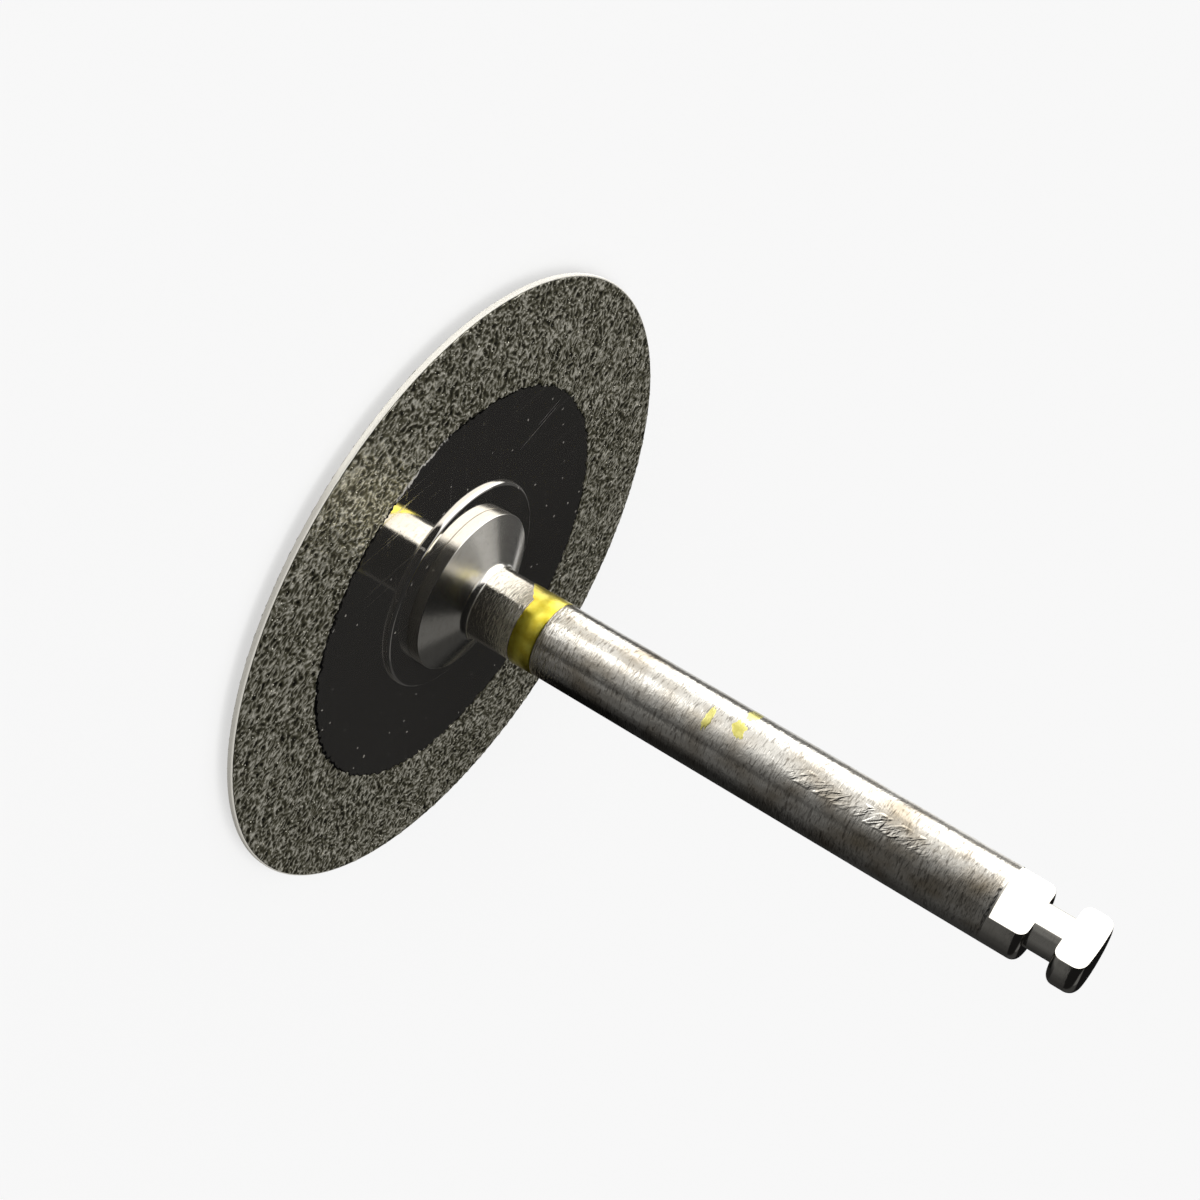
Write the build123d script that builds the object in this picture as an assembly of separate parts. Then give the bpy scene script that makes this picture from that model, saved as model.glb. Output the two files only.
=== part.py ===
from build123d import *
import math
import os

# Interproximal reduction disc on a latch shank, in millimetres.
# The part stands on its front face with the shank upright. The origin is the centre of that
# face, +Z runs along the shank to the latch end, and the flat of the latch faces +X.

# Overall sizes
overall_length = 22.0
shank_diameter = 2.35
disc_diameter = 20.0

# Disc: a thin steel blade with its rim left bare, and a layer of diamond grit on each face
blade_thickness = 0.18
blade_edge_bevel = 0.015
grit_thickness = 0.03
grit_inner_diameter = 13.1
grit_edge_taper = 0.05
grit_rim_margin = 0.04

# Washers that clamp the disc, one on each face
front_washer_diameter = 6.9
front_washer_thickness = 0.40
rear_washer_diameter = 6.9
rear_washer_thickness = 0.15
washer_edge_rounding = 0.12

# Spigot of the mandrel, through the washers and the disc, with its end spread into a countersink
spigot_diameter = 1.8
spigot_clearance = 0.02
rivet_diameter = 2.8
rivet_depth = 0.25

# Hub of the mandrel, a cone that runs into the shank
hub_diameter = 5.2
hub_wall_height = 0.38
hub_edge_rounding = 0.03
cone_height = 0.59
shank_root_rounding = 0.25

# Painted colour band, in a shallow recess of the shank
band_distance_from_cone = 1.61
band_width = 0.78
band_recess_depth = 0.03
band_lip_bevel = 0.02
band_paint_thickness = 0.045
band_edge_bevel = 0.015

# Latch end: flat, ring groove and head
flat_length = 2.85
flat_thickness = 1.74
head_length = 0.96
groove_width = 0.83
groove_diameter = 1.38
groove_edge_rounding = 0.26
end_edge_rounding = 0.32
end_dome_height = 0.06

# Heights that follow from the sizes above
blade_front = front_washer_thickness
blade_rear = blade_front + blade_thickness
hub_front = blade_rear + rear_washer_thickness
hub_edge = hub_front + hub_wall_height
shank_start = hub_edge + cone_height
band_start = shank_start + band_distance_from_cone
band_end = band_start + band_width
groove_end = overall_length - head_length
groove_start = groove_end - groove_width
hole_diameter = spigot_diameter + 2 * spigot_clearance


def corners(face, points):
    """Return the corners of a flat profile that lie nearest to the given (radius, height) points."""
    return [face.vertices().sort_by_distance((radius, 0, height))[0] for radius, height in points]


def turned(profile):
    """Turn a profile drawn on the XZ plane once round the Z axis."""
    return revolve(profile, Axis.Z, 360)


def outline(points):
    """Face on the XZ plane inside a closed line through (radius, height) points."""
    return Plane.XZ * make_face(Polyline(*points, close=True))


def ring_section(inner_diameter, outer_diameter, low, high):
    """Rectangular section of a ring."""
    inner = inner_diameter / 2
    outer = outer_diameter / 2
    return outline([(inner, low), (outer, low), (outer, high), (inner, high)])


def mandrel_profile():
    """Half section of the mandrel before its flat is cut."""
    spigot = spigot_diameter / 2
    hub = hub_diameter / 2
    shank = shank_diameter / 2
    recess = shank - band_recess_depth
    groove = groove_diameter / 2
    dome_edge = overall_length - end_dome_height
    stem = Polyline(
        (0, overall_length),
        (0, 0),
        (rivet_diameter / 2, 0),
        (spigot, rivet_depth),
        (spigot, hub_front),
        (hub, hub_front),
        (hub, hub_edge),
        (shank, shank_start),
        (shank, band_start),
        (recess, band_start),
        (recess, band_end),
        (shank, band_end),
        (shank, groove_start),
        (groove, groove_start),
        (groove, groove_end),
        (shank, groove_end),
        (shank, dome_edge),
    )
    dome_radius = (shank**2 + end_dome_height**2) / (2 * end_dome_height)
    half_angle = math.degrees(math.asin(shank / dome_radius))
    dome = CenterArc((0, overall_length - dome_radius), dome_radius, 90 - half_angle, half_angle)
    profile = Plane.XZ * make_face(stem + dome)
    profile = fillet(corners(profile, [(shank, shank_start)]), shank_root_rounding)
    profile = fillet(corners(profile, [(hub, hub_edge)]), hub_edge_rounding)
    profile = chamfer(corners(profile, [(shank, band_start), (shank, band_end)]), band_lip_bevel)
    profile = fillet(corners(profile, [(shank, groove_start), (shank, groove_end)]), groove_edge_rounding)
    return fillet(corners(profile, [(shank, dome_edge)]), end_edge_rounding)


def mandrel():
    """Turned steel mandrel: riveted spigot, hub, cone, shank and latch end."""
    body = turned(mandrel_profile())
    flat_offset = flat_thickness - shank_diameter / 2
    cutter = Box(
        shank_diameter,
        2 * shank_diameter,
        2 * flat_length,
        align=(Align.MIN, Align.CENTER, Align.CENTER),
    )
    return body - Pos(flat_offset, 0, overall_length) * cutter


def disc_blade():
    """Flat steel blade of the disc, with its centre hole and a fine bevel on both edges of the rim."""
    rim = disc_diameter / 2
    profile = ring_section(hole_diameter, disc_diameter, blade_front, blade_rear)
    edges = corners(profile, [(rim, blade_front), (rim, blade_rear)])
    return turned(chamfer(edges, blade_edge_bevel))


def diamond_layer(face_height, outward):
    """Ring of grit on one face of the blade, thinning out at its inner edge.

    outward is 1 on the rear face and -1 on the front face.
    """
    inner = grit_inner_diameter / 2
    outer = disc_diameter / 2 - grit_rim_margin
    surface = face_height + outward * grit_thickness
    section = [
        (inner, face_height),
        (outer, face_height),
        (outer, surface),
        (inner + grit_edge_taper, surface),
    ]
    return turned(outline(section))


def rear_washer():
    """Thin clamping washer between the hub and the disc, with a rounded outer edge."""
    rim = rear_washer_diameter / 2
    profile = ring_section(hole_diameter, rear_washer_diameter, blade_rear, hub_front)
    return turned(fillet(corners(profile, [(rim, hub_front)]), washer_edge_rounding))


def front_washer():
    """Retaining washer under the disc, countersunk for the spread end of the spigot."""
    hole = hole_diameter / 2
    rim = front_washer_diameter / 2
    mouth = rivet_diameter / 2
    # The countersink lies on the cone of the rivet and ends where it meets the clearance hole.
    slope = rivet_depth / (mouth - spigot_diameter / 2)
    countersink_depth = (mouth - hole) * slope
    profile = outline(
        [
            (mouth, 0),
            (rim, 0),
            (rim, blade_front),
            (hole, blade_front),
            (hole, countersink_depth),
        ]
    )
    return turned(fillet(corners(profile, [(rim, 0)]), washer_edge_rounding))


def colour_band():
    """Ring of paint in the recess of the shank, a little proud of the steel."""
    recess_diameter = shank_diameter - 2 * band_recess_depth
    paint_diameter = recess_diameter + 2 * band_paint_thickness
    rim = paint_diameter / 2
    profile = ring_section(recess_diameter, paint_diameter, band_start, band_end)
    edges = corners(profile, [(rim, band_start), (rim, band_end)])
    return turned(chamfer(edges, band_edge_bevel))


parts = {
    "mandrel": mandrel(),
    "disc_blade": disc_blade(),
    "rear_diamond_layer": diamond_layer(blade_rear, 1),
    "front_diamond_layer": diamond_layer(blade_front, -1),
    "rear_washer": rear_washer(),
    "front_washer": front_washer(),
    "colour_band": colour_band(),
}

os.makedirs("parts", exist_ok=True)
for name, shape in parts.items():
    export_step(shape, f"parts/{name}.step")
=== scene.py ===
"""Studio scene of an interproximal reduction disc: a thin diamond disc on a right-angle latch shank.

The disc stands on its flat front face, with the shank upright along +Z. Sizes are in millimetres and
angles in degrees unless a comment says otherwise. A mesh is brought to metres when it is made.
"""

import logging
import math
from collections.abc import Callable, Iterable, Sequence
from dataclasses import dataclass
from enum import Enum
from functools import partial

import bmesh
import bpy
from mathutils import Matrix, Vector, noise


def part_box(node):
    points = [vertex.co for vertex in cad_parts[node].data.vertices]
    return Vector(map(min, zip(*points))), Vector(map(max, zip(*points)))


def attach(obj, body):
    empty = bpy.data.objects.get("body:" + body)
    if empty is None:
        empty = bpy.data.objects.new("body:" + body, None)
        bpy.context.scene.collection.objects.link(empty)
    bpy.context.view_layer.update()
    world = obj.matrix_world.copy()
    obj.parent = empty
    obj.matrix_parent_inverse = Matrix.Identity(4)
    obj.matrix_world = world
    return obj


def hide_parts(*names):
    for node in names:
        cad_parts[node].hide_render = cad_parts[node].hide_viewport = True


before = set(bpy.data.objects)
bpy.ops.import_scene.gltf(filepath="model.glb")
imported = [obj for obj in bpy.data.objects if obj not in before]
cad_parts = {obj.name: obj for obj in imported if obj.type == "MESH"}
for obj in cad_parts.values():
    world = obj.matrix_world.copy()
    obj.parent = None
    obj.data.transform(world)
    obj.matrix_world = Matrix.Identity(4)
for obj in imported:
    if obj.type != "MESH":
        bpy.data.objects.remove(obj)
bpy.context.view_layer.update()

LOGGER = logging.getLogger("disc")

MM = 0.001
MICRON = 0.001 * MM
ROOT = "root"
GRAIN_TONE = "grain_tone"
# Height at which the crests of the grit lie above the blade.
GRIT_HEIGHT = 0.028
NOISE_SEED = 1

Point = tuple[float, float, float]
Profile = list[tuple[float, float]]
Socket = bpy.types.NodeSocket
Inputs = Sequence[object] | dict[str | int, object]
NodeAdder = Callable[..., bpy.types.NodeOutputs]


class Slot(Enum):
    """Material slots of the record."""

    GROUND_STEEL = "ground_steel"
    POLISHED_STEEL = "polished_steel"
    DIAMOND_GRIT = "diamond_grit"
    YELLOW_PAINT = "yellow_paint"


class Side(Enum):
    """Face of the disc. The value is the way along Z that the face looks."""

    REAR = 1
    FRONT = -1


@dataclass(frozen=True)
class Corner:
    """One corner of a turned profile.

    Attributes:
        radius: Distance from the axis.
        height: Height above the table.
        rounding: Radius of the arc that breaks the corner, or 0 where it stays sharp.
    """

    radius: float
    height: float
    rounding: float = 0.0


def linear(code: str) -> tuple[float, float, float, float]:
    """Turn an sRGB hex colour into the linear colour that the shaders take.

    Args:
        code: Colour as "#rrggbb".

    Returns:
        Linear red, green and blue, with alpha 1.
    """
    channels = [int(code[start : start + 2], 16) / 255 for start in (1, 3, 5)]
    red, green, blue = (
        value / 12.92 if value <= 0.04045 else ((value + 0.055) / 1.055) ** 2.4 for value in channels
    )
    return red, green, blue, 1.0


def add_node(
    tree: bpy.types.NodeTree, kind: str, inputs: Inputs = (), **settings: object
) -> bpy.types.NodeOutputs:
    """Add a node to a tree, with its settings, its values and its incoming links.

    Args:
        tree: Node tree of a material, a world or a modifier.
        kind: Type name of the node.
        inputs: Values of its sockets, or the outputs that feed them, in the sockets' order or by
            their names or numbers. A text "#rrggbb" is a colour.
        settings: Properties of the node and their values.

    Returns:
        The node's outputs.
    """
    node = tree.nodes.new(kind)
    for name, value in settings.items():
        setattr(node, name, value)
    for socket, source in (inputs if isinstance(inputs, dict) else dict(enumerate(inputs))).items():
        if isinstance(source, Socket):
            tree.links.new(source, node.inputs[socket])
        else:
            is_colour = isinstance(source, str) and source.startswith("#")
            node.inputs[socket].default_value = linear(source) if is_colour else source
    return node.outputs


def cleared_tree(owner: bpy.types.Material | bpy.types.World) -> NodeAdder:
    """Clear a material's or a world's node tree, and return the function that adds nodes to it."""
    owner.use_nodes = True
    owner.node_tree.nodes.clear()
    return partial(add_node, owner.node_tree)


def box_mm(node: str) -> tuple[Vector, Vector]:
    """Return a CAD node's lowest and highest corner in millimetres."""
    low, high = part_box(node)
    return Vector(low) / MM, Vector(high) / MM


def wave(angle: float, scale: float, seed: float) -> float:
    """Return noise from -1 to 1 that closes on itself once round the axis.

    Args:
        angle: Angle round the axis in radians.
        scale: Number of noise cells along one radius.
        seed: Offset that picks another pattern.

    Returns:
        Noise value.
    """
    return noise.noise(Vector((math.cos(angle) * scale, math.sin(angle) * scale, seed)))


def rounded_profile(corners: Sequence[Corner], steps: int = 10) -> Profile:
    """Draw a profile through its corners, with an arc at each rounded one.

    Args:
        corners: Corners in order. The first and the last stay sharp.
        steps: Number of steps in each arc.

    Returns:
        Points as (radius, height).
    """
    points: Profile = []
    spots = [Vector((corner.radius, corner.height)) for corner in corners]
    for index, corner in enumerate(corners):
        spot = spots[index]
        if corner.rounding == 0 or index in (0, len(corners) - 1):
            points.append((spot.x, spot.y))
            continue
        back = (spots[index - 1] - spot).normalized()
        ahead = (spots[index + 1] - spot).normalized()
        half_angle = back.angle(ahead) / 2
        centre = spot + (back + ahead).normalized() * corner.rounding / math.sin(half_angle)
        start = spot + back * corner.rounding / math.tan(half_angle) - centre
        turn = math.copysign(math.pi - 2 * half_angle, back.x * ahead.y - back.y * ahead.x)
        for step in range(steps + 1):
            arm = Matrix.Rotation(-turn * step / steps, 2) @ start
            points.append((centre.x + arm.x, centre.y + arm.y))
    return points


def strip_faces(rows: int, columns: int, around: bool, closed: bool) -> list[tuple[int, ...]]:
    """List the quads between rows of vertices.

    Args:
        rows: Number of rows.
        columns: Number of vertices in a row.
        around: Whether each row closes on itself.
        closed: Whether the last row joins the first.

    Returns:
        Faces as vertex numbers.
    """
    faces = []
    for row in range(rows if closed else rows - 1):
        above = (row + 1) % rows
        for column in range(columns if around else columns - 1):
            beside = (column + 1) % columns
            corners = ((row, column), (row, beside), (above, beside), (above, column))
            faces.append(tuple(line * columns + place for line, place in corners))
    return faces


def make_piece(
    name: str,
    vertices: Iterable[Point],
    faces: Iterable[Sequence[int]],
    flat_faces: Iterable[Sequence[int]] = (),
    crease: float = 32.0,
) -> bpy.types.Object:
    """Make a closed mesh in metres, with its doubles merged and its faces pointing outwards.

    Args:
        name: Name of the piece.
        vertices: Points in millimetres.
        faces: Smooth faces as vertex numbers.
        flat_faces: Large flat faces as vertex numbers, which are shaded flat.
        crease: Angle between faces above which their edge stays sharp.

    Returns:
        The new object, linked to the scene.
    """
    merge_distance = 0.4 * MICRON
    mesh = bpy.data.meshes.new(name)
    build = bmesh.new()
    spots = [build.verts.new((x * MM, y * MM, z * MM)) for x, y, z in vertices]
    for group, smooth in ((faces, True), (flat_faces, False)):
        for face in group:
            build.faces.new([spots[index] for index in face]).smooth = smooth
    bmesh.ops.remove_doubles(build, verts=build.verts, dist=merge_distance)
    bmesh.ops.recalc_face_normals(build, faces=build.faces)
    build.to_mesh(mesh)
    build.free()
    mesh.set_sharp_from_angle(angle=math.radians(crease))
    piece = bpy.data.objects.new(name, mesh)
    bpy.context.scene.collection.objects.link(piece)
    return piece


def turned_piece(name: str, profile: Profile, segments: int, closed: bool) -> bpy.types.Object:
    """Turn a profile once round the Z axis.

    Args:
        name: Name of the piece.
        profile: Points as (radius, height).
        segments: Number of steps round the axis.
        closed: Whether the profile's last point joins its first.

    Returns:
        The new object.
    """
    angles = [math.tau * step / segments for step in range(segments)]
    vertices = [(r * math.cos(a), r * math.sin(a), z) for r, z in profile for a in angles]
    return make_piece(name, vertices, strip_faces(len(profile), segments, True, closed))


def bake_modifiers(piece: bpy.types.Object) -> None:
    """Turn a piece and its modifiers into a plain mesh."""
    graph = bpy.context.evaluated_depsgraph_get()
    mesh = bpy.data.meshes.new_from_object(piece.evaluated_get(graph), depsgraph=graph)
    piece.modifiers.clear()
    piece.data = mesh
    mesh.name = piece.name


def weigh_normals(piece: bpy.types.Object) -> None:
    """Let large faces rule the shading of the small arcs beside them, so that flats look flat."""
    modifier = piece.modifiers.new("normals", "WEIGHTED_NORMAL")
    modifier.keep_sharp = True
    bake_modifiers(piece)


def turned_ring(name: str, corners: Sequence[Corner], segments: int) -> bpy.types.Object:
    """Turn a closed outline with flat faces and rounded corners round the Z axis.

    Args:
        name: Name of the piece.
        corners: Corners of the outline in order.
        segments: Number of steps round the axis.

    Returns:
        The new object.
    """
    piece = turned_piece(name, rounded_profile(corners), segments, True)
    weigh_normals(piece)
    return piece


def settle(
    piece: bpy.types.Object, finish: bpy.types.Material, slot: Slot, *nodes: str
) -> bpy.types.Object:
    """Give a finished piece its finish and its body, and hide the CAD nodes that it stands for.

    Args:
        piece: Finished piece.
        finish: Its material.
        slot: Material slot of the record; not used.
        nodes: CAD nodes that the piece replaces.

    Returns:
        The same piece.
    """
    piece.data.materials.clear()
    piece.data.materials.append(finish)
    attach(piece, ROOT)
    if nodes:
        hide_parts(*nodes)
    LOGGER.info("%s: %d faces, stands for %s", piece.name, len(piece.data.polygons), nodes or "no node")
    return piece


class MaterialSketch:
    """A new material with its Principled shader and coordinates in millimetres.

    Attributes:
        add: Adds a node to the tree. It takes the arguments of add_node that follow the tree.
        shader: The Principled shader.
        place: The piece's own coordinates in millimetres.
    """

    def __init__(self, name: str) -> None:
        """Start the material.

        Args:
            name: Name of the material.
        """
        self.material = bpy.data.materials.new(name)
        self.material.use_nodes = True
        self.tree = self.material.node_tree
        self.add: NodeAdder = partial(add_node, self.tree)
        self.shader = self.tree.nodes["Principled BSDF"]
        metres = self.add("ShaderNodeTexCoord")["Object"]
        scale = (1 / MM, 1 / MM, 1 / MM)
        self.place = self.add("ShaderNodeMapping", {"Vector": metres, "Scale": scale})[0]

    def feed(self, **sources: float | Socket) -> None:
        """Give the shader's sockets their values or links.

        Args:
            sources: Values and outputs by the sockets' names in lower case, with underscores for spaces.
        """
        for name, source in sources.items():
            socket = self.shader.inputs[name.replace("_", " ").title()]
            if isinstance(source, Socket):
                self.tree.links.new(source, socket)
            else:
                socket.default_value = source

    def noise(
        self,
        per_mm: Sequence[float],
        detail: float = 2.0,
        distortion: float = 0.0,
        place: Socket | None = None,
    ) -> Socket:
        """Draw noise on the piece's own coordinates.

        Args:
            per_mm: Noise cells in a millimetre along X, Y and Z.
            detail: Number of finer octaves.
            distortion: How far the noise is warped.
            place: Coordinates in millimetres to use in place of the piece's own.

        Returns:
            The noise value, from 0 to 1.
        """
        stretch = {"Vector": place or self.place, "Scale": per_mm}
        stretched = self.add("ShaderNodeMapping", stretch)[0]
        inputs = {"Vector": stretched, "Scale": 1.0, "Detail": detail, "Distortion": distortion}
        return self.add("ShaderNodeTexNoise", inputs)["Fac"]

    def height(self) -> Socket:
        """Return the height above the table in millimetres."""
        return self.add("ShaderNodeSeparateXYZ", (self.place,))[2]

    def flat_place(self) -> Socket:
        """Return the piece's own coordinates in millimetres with their height left out."""
        return self.add("ShaderNodeVectorMath", (self.place, (1.0, 1.0, 0.0)), operation="MULTIPLY")[0]

    def tint(self, base: str | Socket, *layers: tuple[Socket, str | Socket]) -> Socket:
        """Lay colours over one another.

        Args:
            base: Lowest colour.
            layers: Masks and the colours that show where they are 1, from the lowest up.

        Returns:
            The colour.
        """
        for mask, colour in layers:
            base = self.add("ShaderNodeMix", {0: mask, 6: base, 7: colour}, data_type="RGBA")[2]
        return base

    def relief(self, *layers: tuple[Socket, float]) -> Socket:
        """Stack reliefs on one another.

        Args:
            layers: Height patterns from 0 to 1 and their heights in microns, from the lowest up.

        Returns:
            The normal.
        """
        under: dict[str, Socket] = {}
        for pattern, microns in layers:
            inputs = {"Height": pattern, "Strength": 1.0, "Distance": microns * MICRON, **under}
            under = {"Normal": self.add("ShaderNodeBump", inputs)[0]}
        return under["Normal"]


@dataclass(frozen=True)
class GroundSteel:
    """Hardened stainless steel, turned and ground, as on a dental shank.

    The turning marks are short strokes round the axis. They break the edges of the reflections and
    hold a brown stain, and a patch of slanted grinding marks lies near the latch end. The hub is
    smoother than the shank.
    """

    # Real turning marks lie about 0.02 apart, too fine to show here, so they are drawn coarser.
    colour: str = "#e2ded5"
    tarnish: str = "#a39681"
    stain: str = "#4d4334"
    roughness: float = 0.11
    hub_roughness: float = 0.2
    anisotropy: float = 0.3
    strokes_per_mm: tuple[float, float, float] = (3.4, 3.4, 17.0)
    stroke_height: float = 6.5
    ripples_per_mm: float = 5.0
    ripple_height: float = 10.0
    dashes_per_mm: tuple[float, float, float] = (4.0, 4.0, 19.0)
    clouds_per_mm: tuple[float, float, float] = (1.1, 1.1, 0.8)
    hub_top: float = 1.75
    stem_top: float = 4.1
    flat_start: float = 19.1
    hub_share: float = 0.15
    stem_share: float = 0.6
    latch_share: float = 0.2
    patch_azimuth: float = 25.0
    patch_half_angle: float = 13.0
    patch_low: float = 12.3
    patch_high: float = 17.0
    patch_fade: float = 0.6
    patch_slant: float = 50.0
    patch_height: float = 18.0
    patch_marks_per_mm: tuple[float, float, float] = (1.6, 1.6, 6.5)

    def patch(self, sketch: MaterialSketch, height: Socket) -> Socket:
        """Return the slanted grinding marks: noise inside their patch and 0 elsewhere.

        Args:
            sketch: The material.
            height: Height above the table.

        Returns:
            The marks, from 0 to 1.
        """
        add = sketch.add
        azimuth = math.radians(self.patch_azimuth)
        facing = (math.cos(azimuth), math.sin(azimuth), 0.0)
        slant = {"Vector": sketch.place, "Axis": facing, "Angle": math.radians(self.patch_slant)}
        slanted = add("ShaderNodeVectorRotate", slant)[0]
        outwards = add("ShaderNodeVectorMath", (sketch.flat_place(),), operation="NORMALIZE")[0]
        ahead = add("ShaderNodeVectorMath", (outwards, facing), operation="DOT_PRODUCT")["Value"]
        edge = math.cos(math.radians(self.patch_half_angle))
        ranges = (
            (sketch.noise(self.patch_marks_per_mm, 2.0, 0.4, slanted), 0.42, 0.62, 0.0, 1.0),
            (ahead, edge, 0.6 * edge + 0.4, 0.0, 1.0),
            (sketch.noise((0.3, 0.3, 1.1), 2.0), 0.3, 0.5, 0.3, 1.0),
            (height, self.patch_low, self.patch_low + self.patch_fade, 0.0, 1.0),
            (height, self.patch_high - self.patch_fade, self.patch_high, 1.0, 0.0),
        )
        marks, *masks = [add("ShaderNodeMapRange", terms)[0] for terms in ranges]
        for mask in masks:
            marks = add("ShaderNodeMath", (marks, mask), operation="MULTIPLY")[0]
        return marks

    def marked_share(self, sketch: MaterialSketch, height: Socket, shank: Socket) -> Socket:
        """Return how strong the turning marks are: faint on the hub and full on the plain shank.

        Args:
            sketch: The material.
            height: Height above the table.
            shank: 0 on the hub and 1 above it.

        Returns:
            The strength, from 0 to 1.
        """
        add = sketch.add
        ranges = (
            (height, self.stem_top, self.stem_top + 0.1, 0.0, 1.0),
            (height, self.flat_start - 0.1, self.flat_start, 1.0, self.latch_share),
        )
        above_stem, below_flat = (add("ShaderNodeMapRange", terms)[0] for terms in ranges)
        stem = (shank, self.stem_share - self.hub_share, self.hub_share)
        share = add("ShaderNodeMath", stem, operation="MULTIPLY_ADD")[0]
        plain = (above_stem, 1.0 - self.stem_share, share)
        share = add("ShaderNodeMath", plain, operation="MULTIPLY_ADD")[0]
        return add("ShaderNodeMath", (share, below_flat), operation="MULTIPLY")[0]

    def material(self, name: str) -> bpy.types.Material:
        """Build the material.

        Args:
            name: Name of the material.

        Returns:
            The material.
        """
        sketch = MaterialSketch(name)
        add = sketch.add
        height = sketch.height()
        ranges = (
            (height, self.hub_top, self.hub_top + 0.15, 0.0, 1.0),
            (sketch.noise(self.clouds_per_mm, 4.0), 0.42, 0.72, 0.0, 0.9),
            (sketch.noise(self.dashes_per_mm, 3.0, 0.7), 0.52, 0.68, 0.0, 0.6),
        )
        shank, clouds, dashes = (add("ShaderNodeMapRange", terms)[0] for terms in ranges)
        strokes = sketch.noise(self.strokes_per_mm, 2.0, 0.5)
        ripples = sketch.noise((self.ripples_per_mm,) * 3, 3.0, 0.6)
        share = self.marked_share(sketch, height, shank)
        tarnish, dashes, strokes, ripples = (
            add("ShaderNodeMath", (pattern, share), operation="MULTIPLY")[0]
            for pattern in (clouds, dashes, strokes, ripples)
        )
        matt = (shank, self.roughness - self.hub_roughness, self.hub_roughness)
        matt = add("ShaderNodeMath", matt, operation="MULTIPLY_ADD")[0]
        patch = self.patch(sketch, height)
        sketch.feed(
            metallic=1.0,
            anisotropic=self.anisotropy,
            anisotropic_rotation=0.25,
            base_color=sketch.tint(self.colour, (tarnish, self.tarnish), (dashes, self.stain)),
            roughness=add("ShaderNodeMath", (tarnish, 0.06, matt), operation="MULTIPLY_ADD")[0],
            normal=sketch.relief(
                (ripples, self.ripple_height), (strokes, self.stroke_height), (patch, self.patch_height)
            ),
            tangent=add("ShaderNodeTangent", direction_type="RADIAL", axis="Z")[0],
        )
        return sketch.material


@dataclass(frozen=True)
class Scratch:
    """One straight scratch on the disc.

    Attributes:
        start: End of the scratch as (x, y).
        end: Its other end.
        width: Its width.
    """

    start: tuple[float, float]
    end: tuple[float, float]
    width: float = 0.022


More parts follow.
